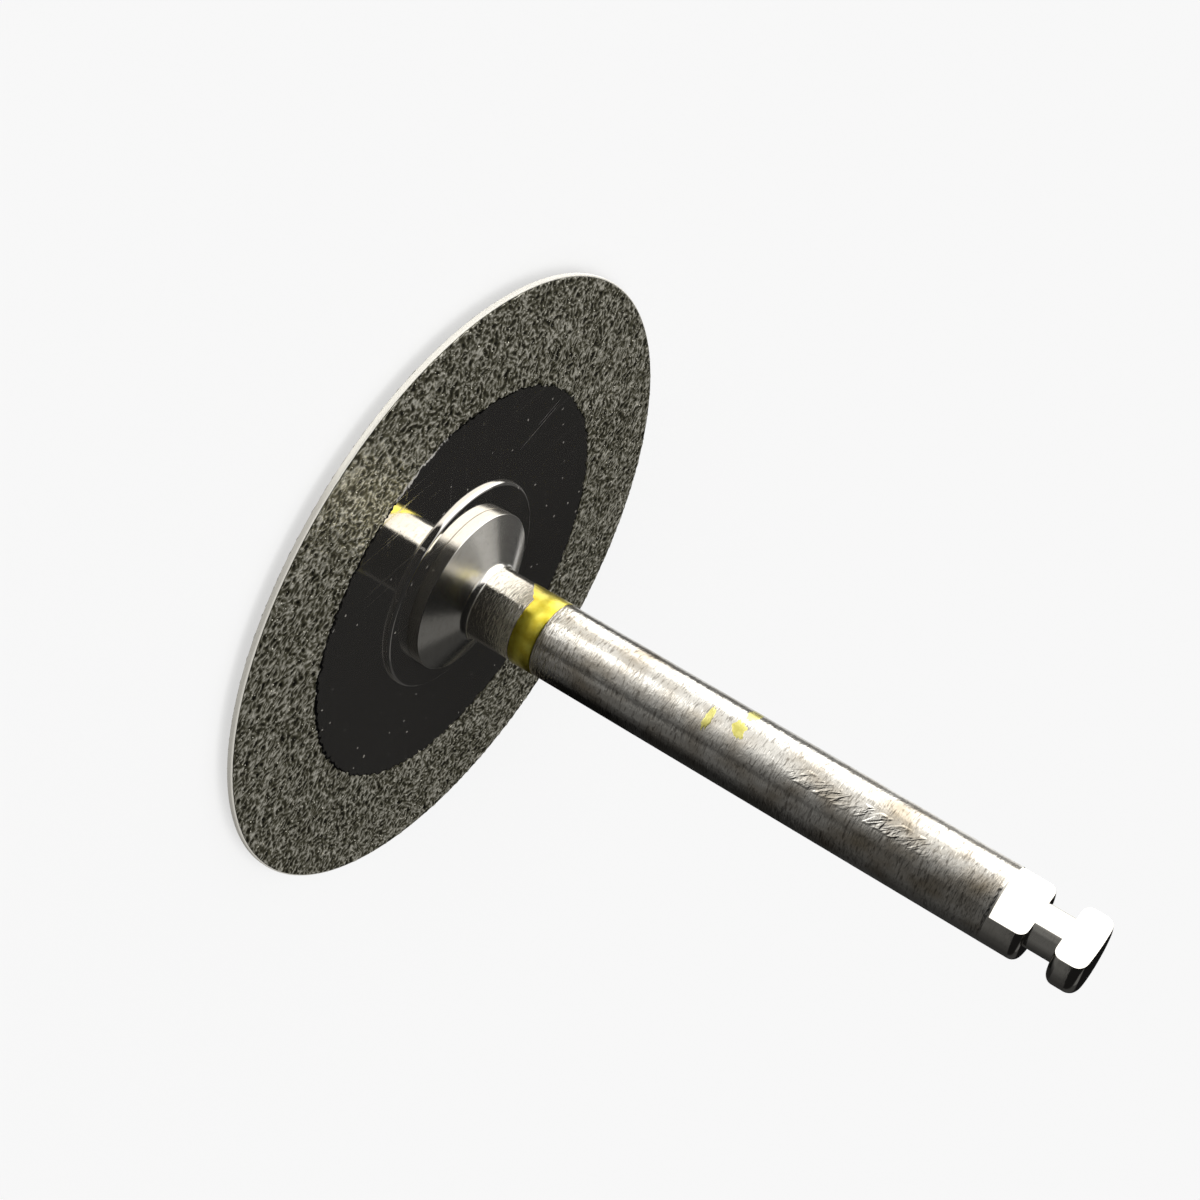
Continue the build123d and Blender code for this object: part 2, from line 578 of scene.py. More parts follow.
@dataclass(frozen=True)
class MirrorSteel:
    """Rolled stainless spring steel, polished to a mirror.

    It shows the dark room, with hairlines, two long scratches and specks of grinding dust. The rim is
    ground, and so pale and satin.
    """

    # Real hairlines are a few microns wide, too fine to show here, so they are drawn coarser.
    colour: str = "#d0ccc5"
    dust: str = "#a9a59c"
    roughness: float = 0.045
    haze: float = 0.03
    rim: str = "#f1ede2"
    rim_radius: float = 9.95
    hairlines_per_mm: float = 7.0
    specks_per_mm: float = 1.3
    speck_radius: float = 0.045
    scratches: tuple[Scratch, ...] = (
        Scratch((4.04, -4.91), (3.40, -2.55)),
        Scratch((4.16, -4.86), (3.80, -3.52)),
    )

    def scratch_mask(self, sketch: MaterialSketch, scratch: Scratch) -> Socket:
        """Return where a scratch lies.

        Args:
            sketch: The material.
            scratch: The scratch.

        Returns:
            1 on the scratch and 0 elsewhere.
        """
        add = sketch.add
        start, end = Vector(scratch.start), Vector(scratch.end)
        middle, arm = (start + end) / 2, end - start
        shift = (sketch.place, (middle.x, middle.y, 0.0))
        shifted = add("ShaderNodeVectorMath", shift, operation="SUBTRACT")[0]
        turn = {"Vector": shifted, "Rotation": (0.0, 0.0, -math.atan2(arm.y, arm.x))}
        turned = add("ShaderNodeMapping", turn)[0]
        along, across, _ = add("ShaderNodeSeparateXYZ", (turned,))
        sides = []
        for away, low, high in (
            (along, 0.3 * arm.length, 0.5 * arm.length),
            (across, 0.3 * scratch.width, 0.6 * scratch.width),
        ):
            away = add("ShaderNodeMath", (away,), operation="ABSOLUTE")[0]
            sides.append(add("ShaderNodeMapRange", (away, low, high, 1.0, 0.0))[0])
        return add("ShaderNodeMath", sides, operation="MULTIPLY")[0]

    def dust_mask(self, sketch: MaterialSketch) -> Socket:
        """Return where specks of dust lie.

        Args:
            sketch: The material.

        Returns:
            Up to 1 on a speck and 0 elsewhere.
        """
        add = sketch.add
        warp = add("ShaderNodeTexNoise", {"Vector": sketch.place, "Scale": 9.0, "Detail": 1.0})["Color"]
        shift = (warp, (0.14, 0.14, 0.0), sketch.place)
        bent = add("ShaderNodeVectorMath", shift, operation="MULTIPLY_ADD")[0]
        inputs = {"Vector": bent, "Scale": self.specks_per_mm}
        cells = add("ShaderNodeTexVoronoi", inputs, feature="F1", voronoi_dimensions="2D")
        picked = add("ShaderNodeSeparateColor", (cells["Color"],))[0]
        reach = self.speck_radius * self.specks_per_mm
        near = add("ShaderNodeMapRange", (cells["Distance"], 0.5 * reach, reach, 1.0, 0.0))[0]
        kept = add("ShaderNodeMapRange", (picked, 0.55, 0.95, 0.0, 1.0))[0]
        return add("ShaderNodeMath", (near, kept), operation="MULTIPLY")[0]

    def material(self, name: str) -> bpy.types.Material:
        """Build the material.

        Args:
            name: Name of the material.

        Returns:
            The material.
        """
        sketch = MaterialSketch(name)
        add = sketch.add
        radius = add("ShaderNodeVectorMath", (sketch.flat_place(),), operation="LENGTH")["Value"]
        ranges = (
            (sketch.noise((1.4, 1.4, 1.4), 4.0), 0.35, 0.75, self.roughness, self.roughness + 0.03),
            (radius, self.rim_radius - 0.01, self.rim_radius + 0.02, 0.0, 1.0),
            (sketch.noise((self.hairlines_per_mm, 0.25, 1.0), 1.0), 0.66, 0.69, 0.0, 0.35),
            (sketch.noise((0.3, 0.8 * self.hairlines_per_mm, 1.0), 1.0), 0.68, 0.7, 0.0, 0.3),
        )
        rough, rim, *marks = [add("ShaderNodeMapRange", terms)[0] for terms in ranges]
        marks += [self.scratch_mask(sketch, scratch) for scratch in self.scratches]
        worn = rim
        for mark in marks:
            worn = add("ShaderNodeMath", (worn, mark), operation="MAXIMUM")[0]
        dust = self.dust_mask(sketch)
        dull = add("ShaderNodeMath", (dust, rim), operation="MAXIMUM")[0]
        sketch.feed(
            metallic=add("ShaderNodeMath", (dull, -0.75, 1.0 - self.haze), operation="MULTIPLY_ADD")[0],
            base_color=sketch.tint(self.colour, (rim, self.rim), (dust, self.dust)),
            roughness=add("ShaderNodeMath", (worn, 0.42, rough), operation="MULTIPLY_ADD")[0],
        )
        return sketch.material


@dataclass(frozen=True)
class NickelBond:
    """Electroplated nickel over diamond grit.

    Its flanks are olive grey; its crests are coloured near white as a painted highlight and its gaps
    near black as painted shade. Along its inner edge on the blade a thin glossy black shelf is a painted
    shadow.
    """

    # Painted light: the first colour is the black of the painted shadow line along the inner edge, the
    # second the painted shade in the gaps, and the last the painted highlight on the crests.
    edge: str = "#0b0b0b"
    gap_shade: str = "#14120b"
    flank: str = "#66634f"
    crest: str = "#efebdc"
    roughness: float = 0.33
    shadow_line_roughness: float = 0.05
    metallic: float = 0.6
    pits_per_mm: float = 22.0
    pit_depth: float = 6.0

    def material(self, name: str, middle: float, base: float, high: float) -> bpy.types.Material:
        """Build the material.

        Args:
            name: Name of the material.
            middle: Height of the blade's middle plane.
            base: Distance from that plane at which the skin begins.
            high: Distance from it at which the crests lie.

        Returns:
            The material.
        """
        sketch = MaterialSketch(name)
        add = sketch.add
        offset = add("ShaderNodeMath", (sketch.height(), middle), operation="SUBTRACT")[0]
        away = add("ShaderNodeMath", (offset,), operation="ABSOLUTE")[0]
        flanks = 0.45 * high + 0.55 * base
        skin, flank, crest = (
            add("ShaderNodeMapRange", (away, start, end, 0.0, 1.0))[0]
            for start, end in ((base + 0.002, base + 0.0035), (base + 0.005, flanks), (flanks, high))
        )
        # Painted shade and highlight: the colour goes by height, near black in the gaps and near white on
        # the crests.
        tone = sketch.tint(self.gap_shade, (flank, self.flank), (crest, self.crest))
        metallic, roughness = (
            add("ShaderNodeMapRange", (skin, 0.0, 1.0, on_shadow_line, on_skin))[0]
            for on_shadow_line, on_skin in ((1.0, self.metallic), (self.shadow_line_roughness, self.roughness))
        )
        pits = sketch.noise((self.pits_per_mm,) * 3, 2.0)
        # Painted shadow: off the skin, on the low shelf along the inner edge, the colour is black and
        # glossy.
        sketch.feed(
            metallic=metallic,
            roughness=roughness,
            base_color=sketch.tint(self.edge, (skin, tone)),
            normal=sketch.relief((pits, self.pit_depth)),
        )
        return sketch.material


@dataclass(frozen=True)
class DiamondGrain:
    """Diamond grit under a thin skin of nickel. Each grain has a tone of its own."""

    dark: str = "#4c493b"
    light: str = "#d6d2c3"
    roughness: float = 0.33
    metallic: float = 0.6

    def material(self, name: str) -> bpy.types.Material:
        """Build the material.

        Args:
            name: Name of the material.

        Returns:
            The material.
        """
        sketch = MaterialSketch(name)
        tone = sketch.add("ShaderNodeAttribute", attribute_name=GRAIN_TONE)["Fac"]
        colour = sketch.tint(self.dark, (tone, self.light))
        sketch.feed(metallic=self.metallic, roughness=self.roughness, base_color=colour)
        return sketch.material


@dataclass(frozen=True)
class YellowLacquer:
    """Clear yellow lacquer on steel.

    Light comes back from the metal through it, so it darkens like metal.
    """

    thick: str = "#dcc620"
    thin: str = "#f2e552"
    roughness: float = 0.3
    clouds_per_mm: float = 3.0
    brush_marks_per_mm: tuple[float, float, float] = (2.0, 2.0, 14.0)
    brush_mark_height: float = 3.0

    def material(self, name: str) -> bpy.types.Material:
        """Build the material.

        Args:
            name: Name of the material.

        Returns:
            The material.
        """
        sketch = MaterialSketch(name)
        noise_value = sketch.noise((self.clouds_per_mm,) * 3, 3.0)
        cloud = sketch.add("ShaderNodeMapRange", (noise_value, 0.35, 0.65, 0.0, 1.0))[0]
        brush = sketch.noise(self.brush_marks_per_mm, 2.0)
        sketch.feed(
            metallic=0.98,
            roughness=self.roughness,
            coat_weight=0.8,
            coat_roughness=0.2,
            base_color=sketch.tint(self.thick, (cloud, self.thin)),
            normal=sketch.relief((brush, self.brush_mark_height)),
        )
        return sketch.material


@dataclass
class Mandrel:
    """The turned steel mandrel: riveted spigot, hub, cone, shank and latch end."""

    shank_radius: float = 1.175
    spigot_radius: float = 0.9
    rivet_radius: float = 1.4
    rivet_depth: float = 0.25
    hub_wall_height: float = 0.38
    hub_rounding: float = 0.03
    cone_height: float = 0.59
    root_rounding: float = 0.25
    recess_depth: float = 0.03
    lip_bevel: float = 0.02
    flat_length: float = 2.85
    flat_thickness: float = 1.74
    flat_edge_rounding: float = 0.03
    head_length: float = 0.96
    groove_width: float = 0.83
    groove_radius: float = 0.69
    groove_rounding: float = 0.26
    end_rounding: float = 0.32
    dome_height: float = 0.06
    arc_steps: int = 132
    front_steps: int = 68
    corner_steps: int = 3
    edge_steps: int = 12
    dome_steps: tuple[int, int] = (14, 8)

    def __post_init__(self) -> None:
        """Take the heights that the CAD nodes give."""
        low, high = box_mm("mandrel")
        self.top = high.z
        self.hub_radius = high.x
        self.hub_front = box_mm("rear_washer")[1].z
        self.band_low = box_mm("colour_band")[0].z
        self.band_high = box_mm("colour_band")[1].z
        self.flat_offset = self.flat_thickness - self.shank_radius
        self.shoulder = self.top - self.flat_length

    def half_angle(self, radius: float) -> tuple[float, float]:
        """Find where the flat meets a section of the latch end.

        Args:
            radius: Radius of the section.

        Returns:
            Radius of the rounding between flat and section, and the angle in radians at which the
            round stretch begins.
        """
        if radius <= self.flat_offset:
            return 0.0, 0.0
        rounding = min(self.flat_edge_rounding, 0.45 * (radius - self.flat_offset))
        return rounding, math.acos((self.flat_offset - rounding) / (radius - rounding))

    def latch_ring(self, radius: float, height: float) -> list[Point]:
        """Draw the D-shaped outline of one section, from one end of the flat round to the other."""
        rounding, begin = self.half_angle(radius)
        centre = Vector((radius - rounding, 0.0)) @ Matrix.Rotation(-begin, 2)
        corner = []
        for step in range(self.corner_steps):
            turn = begin * step / self.corner_steps
            corner.append((centre.x + rounding * math.cos(turn), centre.y + rounding * math.sin(turn)))
        arc = []
        for step in range(self.arc_steps + 1):
            turn = begin + (math.tau - 2 * begin) * step / self.arc_steps
            arc.append((radius * math.cos(turn), radius * math.sin(turn)))
        outline = corner + arc + [(x, -y) for x, y in reversed(corner)]
        return [(x, y, height) for x, y in outline]

    def shank_ring(self, radius: float, height: float) -> list[Point]:
        """Draw a round section whose points meet those of the latch end above it."""
        begin = self.half_angle(self.shank_radius)[1]
        span = math.tau - 2 * begin
        turns = [begin + span * step / self.arc_steps for step in range(self.arc_steps + 1)]
        turns += [-begin + 2 * begin * step / self.front_steps for step in range(1, self.front_steps)]
        return [(radius * math.cos(turn), radius * math.sin(turn), height) for turn in turns]

    def stem_profile(self) -> Profile:
        """Draw the profile from the riveted end to the shoulder of the flat."""
        hub_edge = self.hub_front + self.hub_wall_height
        recess = self.shank_radius - self.recess_depth
        return rounded_profile(
            [
                Corner(0.0, 0.0),
                Corner(self.rivet_radius, 0.0),
                Corner(self.spigot_radius, self.rivet_depth),
                Corner(self.spigot_radius, self.hub_front),
                Corner(self.hub_radius, self.hub_front, self.hub_rounding),
                Corner(self.hub_radius, hub_edge, self.hub_rounding),
                Corner(self.shank_radius, hub_edge + self.cone_height, self.root_rounding),
                Corner(self.shank_radius, self.band_low - self.lip_bevel),
                Corner(self.shank_radius - self.lip_bevel, self.band_low),
                Corner(recess, self.band_low),
                Corner(recess, self.band_high),
                Corner(self.shank_radius - self.lip_bevel, self.band_high),
                Corner(self.shank_radius, self.band_high + self.lip_bevel),
                Corner(self.shank_radius, self.shoulder),
            ]
        )

    def latch_profile(self) -> Profile:
        """Draw the profile from the shoulder of the flat over groove and head to the middle of the dome."""
        groove_high = self.top - self.head_length
        groove_low = groove_high - self.groove_width
        points = rounded_profile(
            [
                Corner(self.shank_radius, self.shoulder),
                Corner(self.shank_radius, groove_low, self.groove_rounding),
                Corner(self.groove_radius, groove_low),
                Corner(self.groove_radius, groove_high),
                Corner(self.shank_radius, groove_high, self.groove_rounding),
                Corner(self.shank_radius, self.top),
            ]
        )[:-1]
        dome_radius = (self.shank_radius**2 + self.dome_height**2) / (2 * self.dome_height)
        dome_centre = self.top - dome_radius
        inset = self.shank_radius - self.end_rounding
        lean = math.asin(inset / (dome_radius - self.end_rounding))
        edge_centre = dome_centre + (dome_radius - self.end_rounding) * math.cos(lean)
        for step in range(self.edge_steps + 1):
            turn = (math.pi / 2 - lean) * step / self.edge_steps
            across, up = self.end_rounding * math.cos(turn), self.end_rounding * math.sin(turn)
            points.append((inset + across, edge_centre + up))
        # Closely spaced where the dome runs out of the flat, so that the flat's upper edge is clean.
        outer = dome_radius * math.sin(lean)
        reach = math.sqrt(outer**2 - self.flat_offset**2)
        rim_steps, middle_steps = self.dome_steps
        radii = [
            math.hypot(self.flat_offset, reach * step / rim_steps) for step in range(rim_steps - 1, -1, -1)
        ]
        radii += [self.flat_offset * step / middle_steps for step in range(middle_steps - 1, -1, -1)]
        points += [(radius, dome_centre + math.sqrt(dome_radius**2 - radius**2)) for radius in radii]
        return points

    def build(self, finish: bpy.types.Material) -> bpy.types.Object:
        """Make the mandrel.

        Args:
            finish: Its material.

        Returns:
            The piece.
        """
        stem = self.stem_profile()
        latch = self.latch_profile()
        lower = [self.shank_ring(radius, height) for radius, height in stem]
        upper = [self.latch_ring(radius, height) for radius, height in latch]
        vertices = [point for ring in lower + upper for point in ring]
        round_count = len(lower[0])
        chain = len(upper[0])
        base = round_count * len(lower)
        faces = strip_faces(len(lower), round_count, True, False)
        faces += [
            tuple(base + index for index in face) for face in strip_faces(len(upper), chain, False, False)
        ]
        # The shoulder lies between the front of the last round section and the first D-shaped one.
        last_round = base - round_count
        front = [last_round + self.arc_steps + step for step in range(self.front_steps)] + [last_round]
        corner_up = [base + step for step in range(self.corner_steps - 1, -1, -1)]
        corner_down = [base + chain - 1 - step for step in range(self.corner_steps)]
        shoulder = front + corner_up + corner_down
        up_side = [base + chain * row for row in range(len(upper))]
        rows_at_flat = sum(1 for radius, _ in latch if radius > self.flat_offset + 1e-6) + 1
        down_side = [index + chain - 1 for index in reversed(up_side[: rows_at_flat - 1])]
        flat = up_side[:rows_at_flat] + down_side
        piece = make_piece("mandrel_steel", vertices, faces, [shoulder, flat])
        weigh_normals(piece)
        return settle(piece, finish, Slot.GROUND_STEEL, "mandrel")


@dataclass
class Blade:
    """The thin steel blade of the disc, whose rim and middle are bare."""

    hole_radius: float = 0.92
    rim_rounding: float = 0.045
    segments: int = 512

    def build(self, finish: bpy.types.Material) -> bpy.types.Object:
        """Make the blade.

        Args:
            finish: Its material.

        Returns:
            The piece.
        """
        low, high = box_mm("disc_blade")
        corners = [
            Corner(self.hole_radius, low.z),
            Corner(high.x, low.z, self.rim_rounding),
            Corner(high.x, high.z, self.rim_rounding),
            Corner(self.hole_radius, high.z),
        ]
        piece = turned_ring("blade_steel", corners, self.segments)
        return settle(piece, finish, Slot.POLISHED_STEEL, "disc_blade")


@dataclass
class Washers:
    """The two washers that clamp the blade: a thin rounded one behind it and a thick one in front."""

    hole_radius: float = 0.92
    rounding: float = 0.12
    rivet_radius: float = 1.4
    rivet_depth: float = 0.25
    spigot_radius: float = 0.9
    segments: int = 256

    def build_rear(self, finish: bpy.types.Material) -> bpy.types.Object:
        """Make the thin washer between hub and blade.

        Args:
            finish: Its material.

        Returns:
            The piece.
        """
        low, high = box_mm("rear_washer")
        corners = [
            Corner(self.hole_radius, low.z),
            Corner(high.x, low.z),
            Corner(high.x, high.z, self.rounding),
            Corner(self.hole_radius, high.z),
        ]
        piece = turned_ring("rear_washer_steel", corners, self.segments)
        return settle(piece, finish, Slot.POLISHED_STEEL, "rear_washer")

    def build_front(self, finish: bpy.types.Material) -> bpy.types.Object:
        """Make the retaining washer, countersunk for the spread end of the spigot.

        Args:
            finish: Its material.

        Returns:
            The piece.
        """
        low, high = box_mm("front_washer")
        slope = self.rivet_depth / (self.rivet_radius - self.spigot_radius)
        countersink = (self.rivet_radius - self.hole_radius) * slope
        corners = [
            Corner(self.hole_radius, high.z),
            Corner(self.hole_radius, countersink),
            Corner(self.rivet_radius, low.z),
            Corner(high.x, low.z, self.rounding),
            Corner(high.x, high.z),
        ]
        piece = turned_ring("front_washer_steel", corners, self.segments)
        return settle(piece, finish, Slot.GROUND_STEEL, "front_washer")


@dataclass
class GritLayer:
    """Diamond grit on one face of the blade: a lumpy nickel skin and the grains that it holds."""

    side: Side
    skin_height: float = 0.017
    skin_relief: float = 0.013
    # The next values shape a thin black shelf along the inner edge: a painted shadow of the skin's edge,
    # wider towards one side.
    shadow_line_width: float = 0.025
    shadow_line_growth: float = 0.11
    shadow_line_azimuth: float = 50.0
    shadow_line_height: float = 0.0015
    shadow_line_edge: float = 0.003
    skin_edge: float = 0.008
    ragged_edge: float = 0.09
    bare_rim: float = 0.03
    worm_size: float = 0.19
    worm_width: float = 0.085
    flank_width: float = 0.3
    grid: float = 0.045
    grain_spacing: float = 0.15
    grain_radius: float = 0.028
    grain_margin: float = 0.1
    seed: int = 3
    inner: float = 6.55

    def __post_init__(self) -> None:
        """Take the rim and the face of the ring that the CAD layer covers."""
        self.node = f"{self.side.name.lower()}_diamond_layer"
        low, high = box_mm(self.node)
        self.outer = high.x
        self.face = low.z if self.side is Side.REAR else high.z

    def edges(self, angle: float) -> tuple[float, float]:
        """Return the inner and outer radius of the grit at an angle, both a little ragged."""
        shift = 10.0 * self.side.value
        lumps = wave(angle, 22.0, 1.0 + shift) + 0.8 * wave(angle, 55.0, 2.0 + shift)
        drift = 0.5 * wave(angle, 3.0, 3.0 + shift)
        chips = max(0.0, wave(angle, 60.0, 4.0 + shift))
        inside = self.inner + self.ragged_edge * (lumps + drift)
        return inside, self.outer - self.bare_rim * (0.4 + 3.0 * chips)

    def relief(self, x: float, y: float) -> float:
        """Return the height of the skin at a point, from -1 in a gap to 1 on a crest.

        The crests follow the lines where smooth noise crosses zero, so they wind like worms.
        """
        spot = Vector((x, y, 4.0 * self.side.value))
        bend = noise.noise_vector(spot / (2.2 * self.worm_size)) * 0.5 * self.worm_size
        away = noise.noise((spot + bend) / self.worm_size)
        crest = math.exp(-((away / self.worm_width) ** 2))
        flank = math.exp(-((away / self.flank_width) ** 2))
        lump = noise.noise(spot / (0.7 * self.worm_size) + Vector((7.0, 3.0, 1.0)))
        patch = noise.noise(spot / 1.3)
        height = (1.1 + 0.5 * patch) * crest * (0.75 + 1.1 * lump) + 0.8 * flank + 0.35 * lump
        return max(-1.0, min(1.0, height - 0.85))

    def surface(self, grid: float, margin: float) -> tuple[list[Point], int, int]:
        """Lay a grid of points over the grit.

        Args:
            grid: Distance between the points.
            margin: Distance that the points keep from the edges.

        Returns:
            Points in rows round the axis, number of rows and number of columns.
        """
        columns = int(math.tau * (self.inner + self.outer) / 2 / grid)
        rows = int((self.outer - self.inner) / grid)
        spans = [self.edges(math.tau * column / columns) for column in range(columns)]
        points = []
        for row in range(rows + 1):
            for column, (inside, outside) in enumerate(spans):
                angle = math.tau * column / columns
                radius = inside + margin + (outside - inside - 2 * margin) * row / rows
                x, y = radius * math.cos(angle), radius * math.sin(angle)
                height = self.skin_height + self.skin_relief * self.relief(x, y)
                points.append((x, y, self.face + self.side.value * height))
        return points, rows + 1, columns

    def build_skin(self, finish: bpy.types.Material) -> bpy.types.Object:
        """Make the nickel skin, closed against the blade.

        Args:
            finish: Its material.

        Returns:
            The piece.
        """
        points, rows, columns = self.surface(self.grid, 0.0)
        inner_edge, outer_edge = points[:columns], points[-columns:]
        # The inner skirt lays a low shelf along the edge, which the nickel material colours black as a
        # painted shadow.
        skirt_in = [
            self.edge_point(point, -self.line(point) - self.shadow_line_edge, 0.0) for point in inner_edge
        ]
        skirt_in += [self.edge_point(point, -self.line(point), self.shadow_line_height) for point in inner_edge]
        skirt_in += [self.edge_point(point, -self.skin_edge, self.shadow_line_height) for point in inner_edge]
        skirt_out = [self.edge_point(point, 0.3 * self.bare_rim, 0.0) for point in outer_edge]
        skirts = len(skirt_in + skirt_out) // columns
        faces = strip_faces(rows + skirts, columns, True, True)
        name = f"{self.side.name.lower()}_nickel_bond"
        piece = make_piece(name, skirt_in + points + skirt_out, faces, crease=80.0)
        return settle(piece, finish, Slot.DIAMOND_GRIT, self.node)

    def line(self, point: Point) -> float:
        """Return the width of the painted shadow line, a black shelf along the inner edge, beside one of the
        edge's points.
        """
        angle = math.atan2(point[1], point[0])
        towards = max(0.0, math.cos(angle - math.radians(self.shadow_line_azimuth)))
        ragged = 1.0 + 0.9 * wave(angle, 30.0, 12.0) + 0.6 * wave(angle, 80.0, 13.0)
        return self.shadow_line_width + self.shadow_line_growth * towards * max(0.1, ragged)

    def edge_point(self, point: Point, outwards: float, above: float) -> Point:
        """Return a point beside an edge point of the skin, at a height above the blade."""
        x, y, _ = point
        stretch = 1 + outwards / math.hypot(x, y)
        return x * stretch, y * stretch, self.face + self.side.value * above

    def build_grains(self, finish: bpy.types.Material) -> bpy.types.Object:
        """Scatter the grains over the skin.

        Args:
            finish: Their material.

        Returns:
            The piece.
        """
        points, rows, columns = self.surface(2 * self.grid, self.grain_margin)
        faces = strip_faces(rows, columns, True, False)
        name = f"{self.side.name.lower()}_diamond_grains"
        piece = make_piece(name, points, faces)
        tree = grain_tree(finish)
        modifier = piece.modifiers.new("grains", "NODES")
        modifier.node_group = tree
        sizes = {"Spacing": self.grain_spacing * MM, "Radius": self.grain_radius * MM, "Seed": self.seed}
        for item in tree.interface.items_tree:
            if item.name in sizes:
                modifier[item.identifier] = sizes[item.name]
        piece.update_tag()
        bake_modifiers(piece)
        return settle(piece, finish, Slot.DIAMOND_GRIT)


def grain_tree(finish: bpy.types.Material) -> bpy.types.NodeTree:
    """Build the tree that scatters eight-faced grains over a surface.

    Args:
        finish: Material of the grains.

    Returns:
        The node tree, with inputs for spacing, radius and seed.
    """
    tree = bpy.data.node_groups.new("diamond_grains", "GeometryNodeTree")
    for name, kind in (("Geometry", "Geometry"), ("Spacing", "Float"), ("Radius", "Float"), ("Seed", "Int")):
        tree.interface.new_socket(name, in_out="INPUT", socket_type=f"NodeSocket{kind}")
    tree.interface.new_socket("Geometry", in_out="OUTPUT", socket_type="NodeSocketGeometry")
    add = partial(add_node, tree)
    entry = add("NodeGroupInput")
    # Far more tries than fit, so that the spacing alone sets how closely the grains lie.
    density = add("ShaderNodeMath", (entry["Spacing"], -2.0), operation="POWER")[0]
    crowd = add("ShaderNodeMath", (density, 4.0), operation="MULTIPLY")[0]
    places = {
        "Mesh": entry["Geometry"],
        "Distance Min": entry["Spacing"],
        "Density Max": crowd,
        "Seed": entry["Seed"],
    }
    points = add("GeometryNodeDistributePointsOnFaces", places, distribute_method="POISSON")["Points"]
    ball = {"Segments": 4, "Rings": 2, "Radius": entry["Radius"]}
    # Turns and sizes of the grains, and shifts of their corners as fractions of the radius, so that no
    # two grains have the same form.
    draws = (
        ((-0.7, -0.7, 0.0), (0.7, 0.7, math.tau), entry["Seed"]),
        ((0.65, 0.55, 0.5), (1.3, 1.0, 0.85), 7),
        ((-0.3, -0.3, -0.3), (0.3, 0.3, 0.3), 5),
    )
    turn, size, jitter = (
        add("FunctionNodeRandomValue", {0: low, 1: high, "Seed": seed}, data_type="FLOAT_VECTOR")[0]
        for low, high, seed in draws
    )
    spread = {
        "Points": points,
        "Instance": add("GeometryNodeMeshUVSphere", ball)["Mesh"],
        "Rotation": turn,
        "Scale": size,
    }
    placed = add("GeometryNodeInstanceOnPoints", spread)[0]
    tone = add("FunctionNodeRandomValue", {"Seed": 11}, data_type="FLOAT")[1]
    tag = {"Geometry": placed, "Name": GRAIN_TONE, "Value": tone}
    toned = add("GeometryNodeStoreNamedAttribute", tag, data_type="FLOAT", domain="INSTANCE")[0]
    real = add("GeometryNodeRealizeInstances", (toned,))[0]
    shift = {0: jitter, "Scale": entry["Radius"]}
    shift = add("ShaderNodeVectorMath", shift, operation="SCALE")[0]
    crooked = add("GeometryNodeSetPosition", {"Geometry": real, "Offset": shift})[0]
    flat = add("GeometryNodeSetShadeSmooth", {"Geometry": crooked, "Shade Smooth": False})[0]
    dressed = add("GeometryNodeSetMaterial", {"Geometry": flat, "Material": finish})[0]
    add("NodeGroupOutput", (dressed,))
    return tree


@dataclass
class ColourBand:
    """The yellow band: lacquer in a recess of the shank, smeared over the steel on one side."""

    steel_radius: float = 1.175
    recess_depth: float = 0.03
    film: float = 0.007
    sink: float = 0.002
    film_edge: float = 0.01
    edge_rounding: float = 0.02
    waver: float = 0.02
    smear_middle: float = -52.7
    smear_half_angle: float = 52.0
    smear_reach: float = 0.62
    columns: int = 256

    def smear(self, angle: float) -> float:
        """Return how far the lacquer runs over the steel below the recess at an angle."""
        away = math.degrees(abs(math.remainder(angle - math.radians(self.smear_middle), math.tau)))
        share = max(0.0, 1.0 - away / self.smear_half_angle)
        ragged = 0.05 * wave(angle, 8.0, 6.0) + 0.03 * wave(angle, 20.0, 7.0)
        return max(0.0, self.smear_reach * share**0.7 + ragged * min(1.0, 8.0 * share))

    def build(self, finish: bpy.types.Material) -> bpy.types.Object:
        """Make the band.

        Args:
            finish: Its material.

        Returns:
            The piece.
        """
        low, high = box_mm("colour_band")
        outer = high.x
        floor = self.steel_radius - self.recess_depth - self.sink
        inside = self.steel_radius - self.sink
        skin = self.steel_radius + self.film
        rows: list[list[Point]] = [[] for _ in range(10)]
        for column in range(self.columns):
            angle = math.tau * column / self.columns
            reach = self.smear(angle)
            bottom = low.z + self.waver * (1 + wave(angle, 6.0, 8.0)) / 2
            top = high.z - self.waver * (1 + wave(angle, 6.0, 9.0)) / 2
            start = bottom - reach
            outline = [
                (floor, top),
                (floor, bottom),
                (inside, bottom - 0.5 * min(reach, 0.05)),
                (inside, start),
                (skin if reach > self.film_edge else inside, start + min(self.film_edge, reach)),
                (skin, bottom),
                (outer, bottom + self.edge_rounding),
                (outer, top - self.edge_rounding),
                (skin, top),
                (inside, top),
            ]
            for row, (radius, height) in zip(rows, outline):
                row.append((radius * math.cos(angle), radius * math.sin(angle), height))
        vertices = [point for row in rows for point in row]
        faces = strip_faces(len(rows), self.columns, True, True)
        piece = make_piece("band_lacquer", vertices, faces, crease=60.0)
        return settle(piece, finish, Slot.YELLOW_PAINT, "colour_band")


@dataclass(frozen=True)
class PaintMark:
    """One stray mark of lacquer on the shank.

    Attributes:
        height: Height of its middle.
        azimuth: Angle of its middle round the shank.
        half_angle: Half of the angle that it covers.
        half_width: Half of its width along the shank.
        slant: How far its ends are shifted along the shank.
    """

    height: float
    azimuth: float
    half_angle: float
    half_width: float
    slant: float = 0.0


